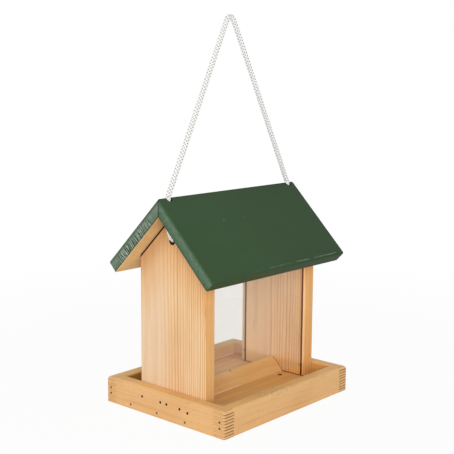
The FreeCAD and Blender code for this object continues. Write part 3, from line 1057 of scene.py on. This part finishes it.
def skin(shape: Shape, before: Sequence[Corner], after: Sequence[Corner]) -> list[bmesh.types.BMFace]:
    """Joins two rings of a tube, either of which may be a single point.

    Args:
        shape: The shape that the faces go into.
        before: The first ring.
        after: The next ring.

    Returns:
        The new faces.
    """
    count = max(len(before), len(after))
    faces = []
    for step in range(count):
        following = (step + 1) % count
        corners = [before[step % len(before)], before[following % len(before)],
                   after[following % len(after)], after[step % len(after)]]
        faces.append(shape.faces.new(dict.fromkeys(corners)))
    return faces


def cap(shape: Shape, rings: Sequence[Sequence[Corner]]) -> None:
    """Closes both ends of a tube."""
    shape.faces.new(rings[0])
    shape.faces.new(rings[-1][::-1])


class NailEnd(Enum):
    """Which end of a nail is its head."""

    OUTER = "outer"
    INNER = "inner"
    UPPER = "upper"


@dataclass
class Nails:
    """Nails of one CAD node, turned with a dimpled head and a point, and how far they bruise the wood."""

    node: str
    body: str
    head: NailEnd
    steel: Material
    bruise: float = 0.0
    sides: int = 16
    point: float = 2.4
    grooves: int = 6

    def runs(self) -> list[tuple[Vector, Vector, float]]:
        """Finds each nail in the CAD node.

        Returns:
            For each nail the middle of its head, the tip and the radius.
        """
        shape = bmesh.new()
        shape.from_mesh(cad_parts[self.node].data)
        bmesh.ops.remove_doubles(shape, verts=shape.verts, dist=0.001 * MM)
        left = set(shape.verts)
        found = []
        while left:
            reached = [left.pop()]
            island = []
            while reached:
                vertex = reached.pop()
                island.append(vertex.co.copy())
                near = {edge.other_vert(vertex) for edge in vertex.link_edges} & left
                left -= near
                reached.extend(near)
            low, high = (Vector([pick(spot[axis] for spot in island) for axis in range(3)])
                         for pick in (min, max))
            found.append(self.run(low, high))
        shape.free()
        return sorted(found, key=lambda run: tuple(run[0]))

    def run(self, low: Vector, high: Vector) -> tuple[Vector, Vector, float]:
        """Reads a nail's head, tip and radius from its box.

        Args:
            low: The box's lowest corner.
            high: The box's highest corner.

        Returns:
            The middle of the head, the tip and the radius.
        """
        size = high - low
        axis = max(range(3), key=lambda number: size[number])
        middle = (low + high) / 2
        ends = [middle.copy(), middle.copy()]
        ends[0][axis] = low[axis]
        ends[1][axis] = high[axis]
        if self.head is NailEnd.UPPER:
            ends.sort(key=lambda spot: -spot.z)
        else:
            ends.sort(key=lambda spot: abs(spot[axis]), reverse=self.head is NailEnd.OUTER)
        radius = min(size[number] for number in range(3) if number != axis) / 2
        return ends[0], ends[1], radius

    def profile(self, length: float, radius: float) -> list[Pair]:
        """Outlines a nail from its head to its point.

        Args:
            length: The nail's length.
            radius: Its shank's radius.

        Returns:
            Places along the nail and the radius at each.
        """
        head = [(0.22, 0.0), (0.2, 0.25), (0.02, 0.55), (0.0, 0.8), (0.12, 0.97), (0.4, 1.0)]
        grooves = [(1.1 + 0.35 * number, 0.97 if number % 2 else 0.9) for number in range(self.grooves)]
        upper = [(run * radius, reach * radius) for run, reach in head + grooves]
        return [*upper, (length - self.point * radius, radius), (length, 0.0)]

    def build(self) -> None:
        """Turns all the nails of the node as one piece, which stands for the node."""
        shape = bmesh.new()
        for head, tip, radius in self.runs():
            into = (tip - head).normalized()
            side = into.orthogonal().normalized()
            other = into.cross(side)
            rings = []
            for run, reach in self.profile((tip - head).length, radius):
                centre = head + into * run
                if reach == 0:
                    rings.append([shape.verts.new(centre)])
                else:
                    rings.append(hoop(shape, centre, side * reach, other * reach, self.sides))
            for before, after in zip(rings, rings[1:]):
                skin(shape, before, after)
        piece = new_piece(f"{self.node}_turned", shape, self.steel)
        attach(piece, self.body)
        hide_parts(self.node)
        LOG.info("turned %s", self.node)


@dataclass
class Line:
    """A cord's smooth middle line with a steady pair of directions across it."""

    spots: list[Vector]
    across: list[Vector]
    over: list[Vector]
    run: list[float]

    @classmethod
    def along(cls, spots: Sequence[Vector], step: float) -> "Line":
        """Spaces a line evenly and carries a pair of directions along it.

        Args:
            spots: The line's own points.
            step: The distance between the new points.

        Returns:
            The spaced line.
        """
        lengths = [0.0]
        for before, after in zip(spots, spots[1:]):
            lengths.append(lengths[-1] + (after - before).length)
        count = max(2, round(lengths[-1] / step))
        spaced = []
        run = []
        number = 0
        for place in range(count + 1):
            target = lengths[-1] * place / count
            while number < len(spots) - 2 and lengths[number + 1] < target:
                number += 1
            share = (target - lengths[number]) / max(lengths[number + 1] - lengths[number], 1e-12)
            spaced.append(spots[number].lerp(spots[number + 1], share))
            run.append(target)
        tangents = [(spaced[min(place + 1, count)] - spaced[max(place - 1, 0)]).normalized()
                    for place in range(count + 1)]
        across = [tangents[0].orthogonal().normalized()]
        for before, after in zip(tangents, tangents[1:]):
            turned = before.rotation_difference(after) @ across[-1]
            across.append((turned - after * turned.dot(after)).normalized())
        over = [tangent.cross(side) for tangent, side in zip(tangents, across)]
        return cls(spaced, across, over, run)

    def part(self, first: float, last: float) -> "Line":
        """Cuts out a stretch of the line.

        Args:
            first: How far along the line it starts.
            last: How far along the line it ends.

        Returns:
            The stretch.
        """
        kept = [place for place, run in enumerate(self.run) if first - 1e-9 <= run <= last + 1e-9]
        chosen = slice(kept[0], kept[-1] + 1)
        return Line(self.spots[chosen], self.across[chosen], self.over[chosen], self.run[chosen])


@dataclass(frozen=True)
class Braid:
    """Round braid of flat strands, half of them wound each way over and under the others."""

    diameter: float
    lead: float = 13.6 * MM
    each_way: int = 4
    thick: float = 1.1 * MM
    wide: float = 2.1 * MM
    weave: float = 0.4 * MM
    sides: int = 6
    steps: int = 24

    def step(self) -> float:
        """Gives the distance between a strand's rings along the cord."""
        return self.lead / self.steps

    def strand(self, shape: Shape, line: Line, way: int, number: int) -> None:
        """Winds one strand along a line.

        Args:
            shape: The shape that it goes into.
            line: The cord's middle line.
            way: 1 or -1 for the way that it winds.
            number: Which of the strands that way.
        """
        laid = shape.loops.layers.uv.verify()
        middle = self.diameter / 2 - self.thick / 2 - self.weave
        centres = []
        outward = []
        for spot, across, over, run in zip(line.spots, line.across, line.over, line.run):
            turn = 2 * math.pi * run / self.lead
            angle = way * turn + 2 * math.pi * number / self.each_way
            out = across * math.cos(angle) + over * math.sin(angle)
            outward.append(out)
            centres.append(spot + out * (middle + way * self.weave * math.cos(self.each_way * turn)))
        rings = []
        last = len(centres) - 1
        for place, centre in enumerate(centres):
            forward = (centres[min(place + 1, last)] - centres[max(place - 1, 0)]).normalized()
            side = forward.cross(outward[place]).normalized()
            lift = side.cross(forward)
            rings.append(hoop(shape, centre, side * (self.wide / 2), lift * (self.thick / 2), self.sides))
        for place, (before, after) in enumerate(zip(rings, rings[1:])):
            near, far = line.run[place:place + 2]
            for corner, face in enumerate(skin(shape, before, after)):
                turns = [corner, corner + 1, corner + 1, corner]
                for loop, run, turn in zip(face.loops, (near, near, far, far), turns):
                    loop[laid].uv = (run / MM, turn / self.sides + number + way)
        cap(shape, rings)

    def core(self, shape: Shape, line: Line) -> None:
        """Fills the middle of the braid so that nothing shows through it.

        Args:
            shape: The shape that it goes into.
            line: The cord's middle line.
        """
        reach = self.diameter / 2 - self.thick - self.weave
        rings = [hoop(shape, spot, across * reach, over * reach, self.sides)
                 for spot, across, over in zip(line.spots[::3], line.across[::3], line.over[::3])]
        for before, after in zip(rings, rings[1:]):
            skin(shape, before, after)
        cap(shape, rings)

    def build(self, name: str, line: Line, material: Material) -> Piece:
        """Braids the cord along a line.

        Args:
            name: The new piece's name.
            line: The cord's middle line.
            material: The yarn's material.

        Returns:
            The braided piece.
        """
        shape = bmesh.new()
        for way in (1, -1):
            for number in range(self.each_way):
                self.strand(shape, line, way, number)
        self.core(shape, line)
        return new_piece(name, shape, material)


def spline(route: Sequence[Triple], resolution: int = 48) -> list[Vector]:
    """Reads the points of the smooth spline that a route's points control.

    Args:
        route: The route's points in millimetres.
        resolution: How many points each stretch gives.

    Returns:
        Points along the spline, in metres.
    """
    curve = bpy.data.curves.new("cord_route", "CURVE")
    curve.dimensions = "3D"
    path = curve.splines.new("NURBS")
    path.points.add(len(route) - 1)
    for point, spot in zip(path.points, route):
        point.co = (*(Vector(spot) * MM), 1.0)
    path.order_u = 3
    path.use_endpoint_u = True
    path.resolution_u = resolution
    carrier = bpy.data.objects.new("cord_route", curve)
    mesh = bpy.data.meshes.new_from_object(carrier)
    spots = [vertex.co.copy() for vertex in mesh.vertices]
    bpy.data.objects.remove(carrier)
    bpy.data.meshes.remove(mesh)
    bpy.data.curves.remove(curve)
    return spots


@dataclass
class HangingCord:
    """White braided cord from a knot in one wall, through the roof, over its hook and down to the other."""

    diameter: float = 5.5 * MM
    ridge: float = RIDGE_TOP
    wall_hole: float = CORD_HOLE
    wall_inside: float = WALL_INSIDE
    lift_keep: float = 0.43
    loop: tuple[Triple, ...] = (
        (-91.5, 0.0, 221.985),
        (-89.5, 0.0, 226.1),
        (-87.2, 0.0, 230.7),
        (-8.9, 0.0, 390.1),
        (-5.4, 0.0, 396.2),
        (-0.4, 0.0, 396.2),
        (4.4, 0.0, 390.4),
        (89.5, 0.0, 230.3),
        (91.7, 0.0, 226.1),
        (94.5, 0.0, 221.985),
    )
    left_tail: tuple[Triple, ...] = (
        (-91.5, 0.0, 221.985),
        (-91.3, 0.0, 203.0),
        (-90.7, 0.0, 190.0),
        (-86.8, 0.0, 180.2),
        (-82.0, 0.0, 178.6),
        (-73.0, 0.0, 177.98),
    )
    right_tail: tuple[Triple, ...] = (
        (94.5, 0.0, 221.985),
        (94.2, 0.0, 203.0),
        (91.8, 0.0, 188.0),
        (86.9, 0.0, 178.6),
        (82.0, 0.0, 177.7),
        (73.0, 0.0, 177.98),
    )
    fullness: float = 1.03
    knot_depth: float = 12.1
    knot_radius: float = 4.6
    knot_swell: float = 2.9
    knot_points: int = 20
    knot_offset: float = 4.0
    knot_spread: float = 1.6
    knot_entry: float = 7.0
    knot_exit: float = 6.0
    knot_end: float = 10.0

    def __post_init__(self) -> None:
        """Settles the braid and its yarn."""
        self.braid = Braid(self.diameter * self.fullness)
        self.yarn = CordYarn("cord_yarn", light="#ffffff", shade="#dad6ca", gap_shade="#5a5338").material()
        # painted light: a paler copy of the yarn, with lighter shade colours, for the tails under the roof
        # and the knots
        self.brightened_yarn = CordYarn("brightened_yarn", light="#ffffff", shade="#ece9e2", gap_shade="#a8a294").material()

    def build(self) -> None:
        """Braids the loop, the tails and the knots, with one braid that runs on from piece to piece."""
        runs = [spline(self.left_tail)[::-1], spline(self.loop), spline(self.right_tail)]
        lengths = [sum((after - before).length for before, after in zip(run, run[1:])) for run in runs]
        step = self.braid.step()
        whole = Line.along(runs[0] + runs[1][1:] + runs[2][1:], step)
        left, loop, right = (whole.part(end - length - step, end + step)
                             for end, length in zip(itertools.accumulate(lengths), lengths))
        self.fit_loop("cord_loop", loop, lengths[1])
        self.fit_tail("cord_tail_left", left, lengths[0], side=-1)
        self.fit_tail("cord_tail_right", right, lengths[2], side=1)

    def fit_loop(self, name: str, line: Line, length: float) -> None:
        """Braids the loop above the ridge.

        Args:
            name: The CAD node that it stands for.
            line: Its middle line.
            length: Its length.
        """
        piece = self.braid.build(f"{name}_braid", line, self.yarn)
        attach(piece, "roof")
        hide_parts(name)
        self.ridge * MM
        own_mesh(piece)
        LOG.info("braided %s, %.0f mm long", name, length / MM)

    def fit_tail(self, name: str, line: Line, length: float, side: int) -> None:
        """Braids one tail from the roof to the wall, and its knot inside.

        Args:
            name: The CAD node that it stands for.
            line: Its middle line.
            length: Its length.
            side: -1 for the left end and 1 for the right end.
        """
        knot = self.tie_knot(name.replace("tail", "knot"), side)
        piece = self.braid.build(f"{name}_braid", line, self.brightened_yarn)
        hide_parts(name)
        path = line.spots[::-1] if side < 0 else line.spots
        top = Vector(path[0])
        low = Vector((top.x, top.y, self.wall_hole * MM + self.diameter))
        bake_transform(piece)
        LOG.info("braided %s, %.0f mm long", name, length / MM)

    def tie_knot(self, name: str, side: int) -> Piece:
        """Ties the overhand knot that keeps the cord's end inside a wall.

        Args:
            name: The CAD node that it stands for.
            side: -1 for the left wall and 1 for the right wall.

        Returns:
            The knot.
        """
        middle = self.wall_inside - self.knot_depth
        spread = self.knot_spread
        route = [(self.wall_inside, -spread, 0.0), (middle + self.knot_entry, -spread, 0.0)]
        for step in range(2, self.knot_points - 1):
            angle = 2 * math.pi * step / self.knot_points
            reach = self.knot_radius + self.knot_swell * math.cos(3 * angle)
            along = -reach * math.sin(2 * angle)
            across = reach * math.cos(2 * angle) - self.knot_radius - self.knot_swell
            over = self.knot_swell * math.sin(3 * angle)
            route.append((middle + along, across + self.knot_offset, over))
        route += [(middle - self.knot_exit, spread, 0.0), (middle - self.knot_end, spread, 0.0)]
        route = [(side * along, across, self.wall_hole + over) for along, across, over in route]
        line = Line.along(spline(route), self.braid.step())
        piece = self.braid.build(f"{name}_tied", line, self.brightened_yarn)
        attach(piece, "house")
        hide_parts(name)
        LOG.info("tied %s", name)
        return piece


@dataclass(frozen=True)
class Rim:
    """A rim board: its side, grain, log's heart and own figure, and its inner face's way and the colour that
    paints light and shade on that face.
    """

    side: str
    along: Axis
    heart: Pair
    seed: float
    inward: Triple
    inner: str


@dataclass
class Tray:
    """Box-jointed tray: four rim boards, the floor board and the nails through the end rims."""

    pale: str = "#e0b279"
    late: str = "#c98f55"
    end: str = "#c08a54"
    # painted light: the rims' top faces lighter
    top: str = "#f2c17c"
    fingers: int = 9
    drains: tuple[Pair, ...] = ((-60.0, -21.6), (-60.0, 21.6), (60.0, -21.6), (60.0, 21.6))
    drain_radius: float = 2.2

    def __post_init__(self) -> None:
        """Reads the tray's sizes from the frame, and settles its joints, boards and nails."""
        low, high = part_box("tray_front_rim")
        half_length, half_width = high.x / MM, -low.y / MM
        board = half_width + high.y / MM
        self.joint = CornerJoint(half_length, half_width, board, high.z / MM / self.fingers)
        self.rims = (
            # the inner colours are painted light and shade: paler on the back rim, deeper orange on the right
            # rim
            Rim("front", Axis.X, (-30.0, -52.0), 11.0, (0.0, 1.0, 0.0), self.pale),
            Rim("back", Axis.X, (40.0, -40.0), 47.0, (0.0, -1.0, 0.0), "#ffd58a"),
            Rim("left", Axis.Y, (-58.0, -50.0), 83.0, (1.0, 0.0, 0.0), self.pale),
            Rim("right", Axis.Y, (64.0, -46.0), 131.0, (-1.0, 0.0, 0.0), "#daa24e"),
        )
        steel = DARK_STEEL.material()
        self.nails = [
            Nails(node, "house", NailEnd.OUTER, steel, bruise)
            for node, bruise in (("wall_nails", 1.0), ("floor_nails", 0.75), ("tray_corner_nails", 0.8))
        ]

    def bruises(self, rim: Rim) -> NailBruises:
        """Finds the nails that go into an end rim.

        Args:
            rim: The end rim.

        Returns:
            The marks round them.
        """
        spots = [(head.y / MM, head.z / MM, nails.bruise) for nails in self.nails
                 for head, _, _ in nails.runs() if head.x * rim.inward[0] < 0]
        return NailBruises(tuple(spots))

    def rim_wood(self, rim: Rim) -> Timber:
        """Chooses the wood of a rim board, with its joints and the marks of its nails.

        Args:
            rim: The rim board.

        Returns:
            Its wood.
        """
        marks = (self.joint,) if rim.along is Axis.X else (self.joint, self.bruises(rim))
        return Timber(f"{rim.side}_rim_wood", rim.along, rim.heart, ring=4.2, pale=self.pale, late=self.late,
                      end=self.end, contrast=0.26, crisp=0.4, end_share=0.14, wander=22.0, seed=rim.seed,
                      flecks=0.65, patchy=0.75, marks=marks,
                      faces=(((0.0, 0.0, 1.0), self.top), (rim.inward, rim.inner)))

    def build(self) -> None:
        """Dresses the boards and turns the nails."""
        for rim in self.rims:
            dress(f"tray_{rim.side}_rim", self.rim_wood(rim).material())
        floor = Timber("floor_wood", Axis.X, heart=(12.0, -52.0), ring=4.6, pale="#f3c179", late="#d0974e",
                       end=self.end, contrast=0.4, crisp=0.25, wander=16.0, seed=171.0,
                       marks=(SeamShade(self.drains, self.drain_radius),))
        dress("tray_floor", floor.material())
        for nails in self.nails:
            nails.build()


@dataclass
class Hopper:
    """Seed house on the tray: two gable walls, two clear panes on pins, and the divider below them."""

    late: str = "#c98846"
    end: str = "#b9854f"
    edge: str = "#dfa660"
    nail_mark: Pair = (0.0, -0.8)
    nail_mark_radius: float = 1.1

    def walls(self) -> dict[str, Timber]:
        """Chooses the wood of both gable walls.

        Returns:
            The wood of each wall's node.
        """
        low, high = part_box("gable_wall_left")
        pane_low, pane_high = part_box("pane_back")
        middle = (pane_low.y + pane_high.y) / 2 / MM
        marks = (RoofSeat(high.z / MM), PaneGrooveShade(middle, low.z / MM, pane_low.z / MM), CordBoreShade())
        left = Timber("gable_wall_left_wood", Axis.Z, heart=(-42.0, 32.0), ring=2.4, pale="#e8c497",
                      late=self.late, end=self.end, contrast=0.95, crisp=0.42, fade=0.8, wander=4.0,
                      seed=19.0, flecks=0.15, flat="#e4c5a1", marks=marks,
                      faces=(((0.0, 1.0, 0.0), self.edge), ((0.0, -1.0, 0.0), self.edge)))
        # painted light: the right wall is the same wood as the left, with paler colours to brighten it where
        # it is seen inside the house, in its shade
        right = replace(left, name="gable_wall_right_wood", heart=(118.0, 26.0), ring=2.7, pale="#f9ce98",
                        seed=76.0, flat="#f5cfa2")
        return {"gable_wall_left": left, "gable_wall_right": right}

    def build(self) -> None:
        """Dresses the walls, panes and divider, and turns the pins and the divider's nail."""
        for node, wall in self.walls().items():
            dress(node, wall.material())
        divider = Timber("divider_wood", Axis.X, heart=(-24.0, 66.0), ring=5.0, pale="#fcc87a",
                         late="#dd9a49", end=self.end, contrast=0.35, crisp=0.25, wander=12.0, seed=211.0,
                         marks=(SeamShade((self.nail_mark,), self.nail_mark_radius),))
        dress("seed_divider", divider.material())
        sheet = ClearSheet("clear_sheet", tint="#fcfcfb", haze="#eeeff2").material()
        for node in ("pane_front", "pane_back"):
            dress(node, sheet)
        Nails("pane_rest_pins", "house", NailEnd.INNER, PIN_STEEL.material()).build()
        Nails("seed_divider_nail", "house", NailEnd.UPPER, DARK_STEEL.material()).build()


@dataclass
class Roof:
    """Mitred roof of two boards, painted green outside."""

    ridge: float = RIDGE_TOP
    thickness: float = 13.0
    slope: float = 102.0
    paint: str = "#2d4727"
    pale: str = "#e3c18b"
    late: str = "#cc9f63"
    end: str = "#b07c46"

    def build(self) -> None:
        """Dresses both boards and turns the nails across the mitre."""
        front_wood = Timber("roof_front_board_wood", Axis.X, heart=(-8.0, 158.0), ring=3.4, pale=self.pale,
                            late=self.late, end=self.end, contrast=0.25, wander=9.0, seed=251.0)
        back_wood = replace(front_wood, name="roof_back_board_wood", heart=(-58.0, 276.0), ring=2.6,
                            seed=294.0)
        front = RoofPaint("roof_front_board_paint", front_wood, under=(0.0, SLANT, -SLANT),
                          half_length=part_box("roof_front_board")[1].x / MM, ridge=self.ridge,
                          thickness=self.thickness, slope=self.slope, colour=self.paint,
                          thin="#5c745d", low="#46614a", ridged=0.05)
        back = replace(front, name="roof_back_board_paint", timber=back_wood, under=(0.0, -SLANT, -SLANT),
                       thin="#6d7e6c", low="#576b55", ridged=1.0)
        dress("roof_front_board", front.material())
        dress("roof_back_board", back.material())
        Nails("roof_ridge_nails", "roof", NailEnd.OUTER, BRIGHT_STEEL.material()).build()


@dataclass(frozen=True)
class Lamp:
    """Soft square lamp of the studio."""

    name: str
    place: Triple
    side: float
    power: float

    def hang(self, aim: Triple) -> None:
        """Hangs the lamp so that it looks at a spot.

        Args:
            aim: The spot.
        """
        light = bpy.data.lights.new(self.name, "AREA")
        light.size = self.side
        light.energy = self.power
        lamp = bpy.data.objects.new(self.name, light)
        lamp.location = self.place
        lamp.rotation_mode = "QUATERNION"
        lamp.rotation_quaternion = (Vector(aim) - Vector(self.place)).to_track_quat("-Z", "Y")
        bpy.context.scene.collection.objects.link(lamp)


@dataclass
class Studio:
    """White studio with the photograph's camera, soft light from the left and a pale floor."""

    camera_place: Triple = (-0.74581, -0.65454, 0.34262)
    camera_aim: Triple = (0.01745, 0.0201, 0.1777)
    camera_roll: float = 0.397
    focal_pixels: float = 966.5
    ambient: float = 0.5
    lamps: tuple[Lamp, ...] = (
        Lamp("key_light", (-1.75, -1.8, 0.7), 1.7, 46.0),
        Lamp("fill_light", (-1.2, 1.2, 0.5), 1.4, 5.0),
    )
    floor_reach: float = 0.9
    floor_drop: float = 0.2 * MM
    floor_white: Colour = (0.93, 0.93, 0.93, 1.0)
    floor_glow: float = 0.94

    def build(self) -> None:
        """Sets up the camera, the light and the floor."""
        self.camera()
        self.world()
        for lamp in self.lamps:
            lamp.hang(self.camera_aim)
        self.floor()
        bpy.context.scene.view_settings.view_transform = "Standard"

    def camera(self) -> None:
        """Places the camera where the photograph was taken from."""
        lens = bpy.data.cameras.new("photo_camera")
        lens.sensor_width = SENSOR_WIDTH
        lens.lens = self.focal_pixels / IMAGE_SIDE * SENSOR_WIDTH
        camera = bpy.data.objects.new("photo_camera", lens)
        camera.location = self.camera_place
        sight = Vector(self.camera_aim) - Vector(self.camera_place)
        roll = Quaternion((0.0, 0.0, 1.0), math.radians(self.camera_roll))
        camera.rotation_mode = "QUATERNION"
        camera.rotation_quaternion = sight.to_track_quat("-Z", "Y") @ roll
        bpy.context.scene.collection.objects.link(camera)
        bpy.context.scene.camera = camera

    def world(self) -> None:
        """Makes the even white surroundings, dimmer as a light than they look."""
        world = bpy.data.worlds.new("studio_white")
        bpy.context.scene.world = world
        shader = Shader(world)
        path = shader.node("ShaderNodeLightPath").outputs
        seen = Signal(shader, path["Is Camera Ray"])
        for name in ("Is Glossy Ray", "Is Transmission Ray"):
            seen = seen.larger(Signal(shader, path[name]))
        back = shader.node("ShaderNodeBackground", None, {
            "Color": linear("#ffffff"),
            "Strength": self.ambient + seen * (1 - self.ambient),
        })
        shader.node("ShaderNodeOutputWorld", None, {"Surface": back.outputs["Background"]})

    def floor(self) -> None:
        """Lays the pale floor, which keeps the house's soft shadow and fades into the white around it."""
        shape = bmesh.new()
        bmesh.ops.create_circle(shape, cap_ends=True, segments=96, radius=self.floor_reach)
        bmesh.ops.translate(shape, verts=shape.verts, vec=(0.0, 0.0, -self.floor_drop))
        shader = Shader(bpy.data.materials.new("pale_floor"))
        path = shader.node("ShaderNodeLightPath").outputs
        plain = shader.node("ShaderNodeBsdfDiffuse", None, {"Color": self.floor_white})
        glow = shader.node("ShaderNodeEmission", None, {"Strength": 1.0})
        lit = shader.layer(Signal(shader, path["Is Camera Ray"]) * self.floor_glow, plain, glow)
        x, y, _ = shader.place
        reach = self.floor_reach / MM
        faded = (x * x + y * y).root().rise(0.35 * reach, 0.95 * reach)
        shown = shader.layer(faded, lit, shader.node("ShaderNodeBsdfTransparent"))
        new_piece("studio_floor", shape, shader.finish(shown))


def main() -> None:
    """Builds the studio and the house in order."""
    logging.basicConfig(level=logging.INFO, format="%(name)s: %(message)s")
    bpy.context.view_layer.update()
    Studio().build()
    HangingCord().build()
    Tray().build()
    Hopper().build()
    Roof().build()


if __name__ == "__main__":
    main()
